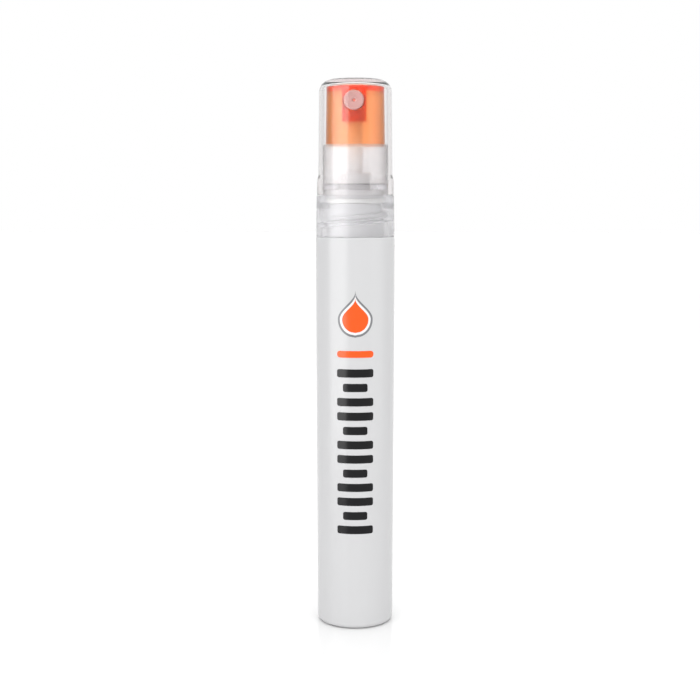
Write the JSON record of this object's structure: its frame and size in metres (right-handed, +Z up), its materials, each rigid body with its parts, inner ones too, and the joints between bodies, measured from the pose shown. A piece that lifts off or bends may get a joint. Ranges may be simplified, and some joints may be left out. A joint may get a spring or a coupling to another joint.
{
  "type": "lens cleaning spray",
  "caption": "Pocket fine-mist sprayer for lens cleaner: slim milky bottle, screw-on pump with push button and clear pull-off cap.",
  "frame": {"origin": "middle of the bottle's base, on the surface that the spray stands on", "axes": "+Z up along the bottle's axis, -Y the way the nozzle sprays, +X to the right of someone who faces the nozzle"},
  "size_m": [0.0164, 0.0164, 0.1146],
  "materials": {
    "milky_bottle_plastic": "satin",
    "cleaning_liquid": "gloss",
    "gasket_foam": "matte",
    "natural_pump_plastic": "satin",
    "dip_tube_plastic": "satin",
    "polished_steel": "polished",
    "spring_steel": "satin",
    "piston_plastic": "satin",
    "orange_button_plastic": "gloss",
    "pale_nozzle_plastic": "satin",
    "natural_collar_plastic": "gloss",
    "clear_cap_plastic": "polished"
  },
  "bodies": {
    "bottle": {"bottle": "milky_bottle_plastic", "cleaning_liquid": "cleaning_liquid"},
    "pump": {"pump_housing": "natural_pump_plastic", "turret": "natural_pump_plastic", "neck_gasket": "gasket_foam", "dip_tube": "dip_tube_plastic", "return_spring": "spring_steel"},
    "inlet_ball": {"inlet_ball": "polished_steel"},
    "stem": {"stem": "natural_pump_plastic", "stem_plunger": "natural_pump_plastic", "precompression_spring": "spring_steel"},
    "piston": {"piston": "piston_plastic"},
    "button": {"actuator_button": "orange_button_plastic", "nozzle_insert": "pale_nozzle_plastic"},
    "collar": {"screw_collar": "natural_collar_plastic"},
    "overcap": {"overcap": "clear_cap_plastic"}
  },
  "joints": [
    {"name": "pump_lift", "type": "slide", "parent": "bottle", "child": "pump", "axis": [0, 0, 1], "range_m": [0, 0.006]},
    {"name": "collar_unscrew", "type": "hinge", "parent": "pump", "child": "collar", "pos_m": [0, 0, 0.0823], "axis": [0, 0, 1], "range_deg": [0, 720]},
    {"name": "overcap_pull", "type": "slide", "parent": "collar", "child": "overcap", "axis": [0, 0, 1], "range_m": [0, 0.03]},
    {"name": "button_press", "type": "slide", "parent": "pump", "child": "stem", "axis": [0, 0, -1], "range_m": [0, 0.0045], "stiffness_N_per_m": 1700, "deforming": ["return_spring"]},
    {"name": "outlet_valve", "type": "slide", "parent": "stem", "child": "piston", "axis": [0, 0, 1], "range_m": [0, 0.0006], "stiffness_N_per_m": 800, "deforming": ["precompression_spring"]},
    {"name": "button_swivel", "type": "hinge", "parent": "stem", "child": "button", "pos_m": [0, 0, 0.1057], "axis": [0, 0, 1], "continuous": true},
    {"name": "inlet_ball_lift", "type": "slide", "parent": "pump", "child": "inlet_ball", "axis": [0, 0, 1], "range_m": [0, 0.0006]}
  ],
  "couplings": [
    {"joint": "pump_lift", "follows": "collar_unscrew", "m_per_rad": 0.00047746}
  ]
}
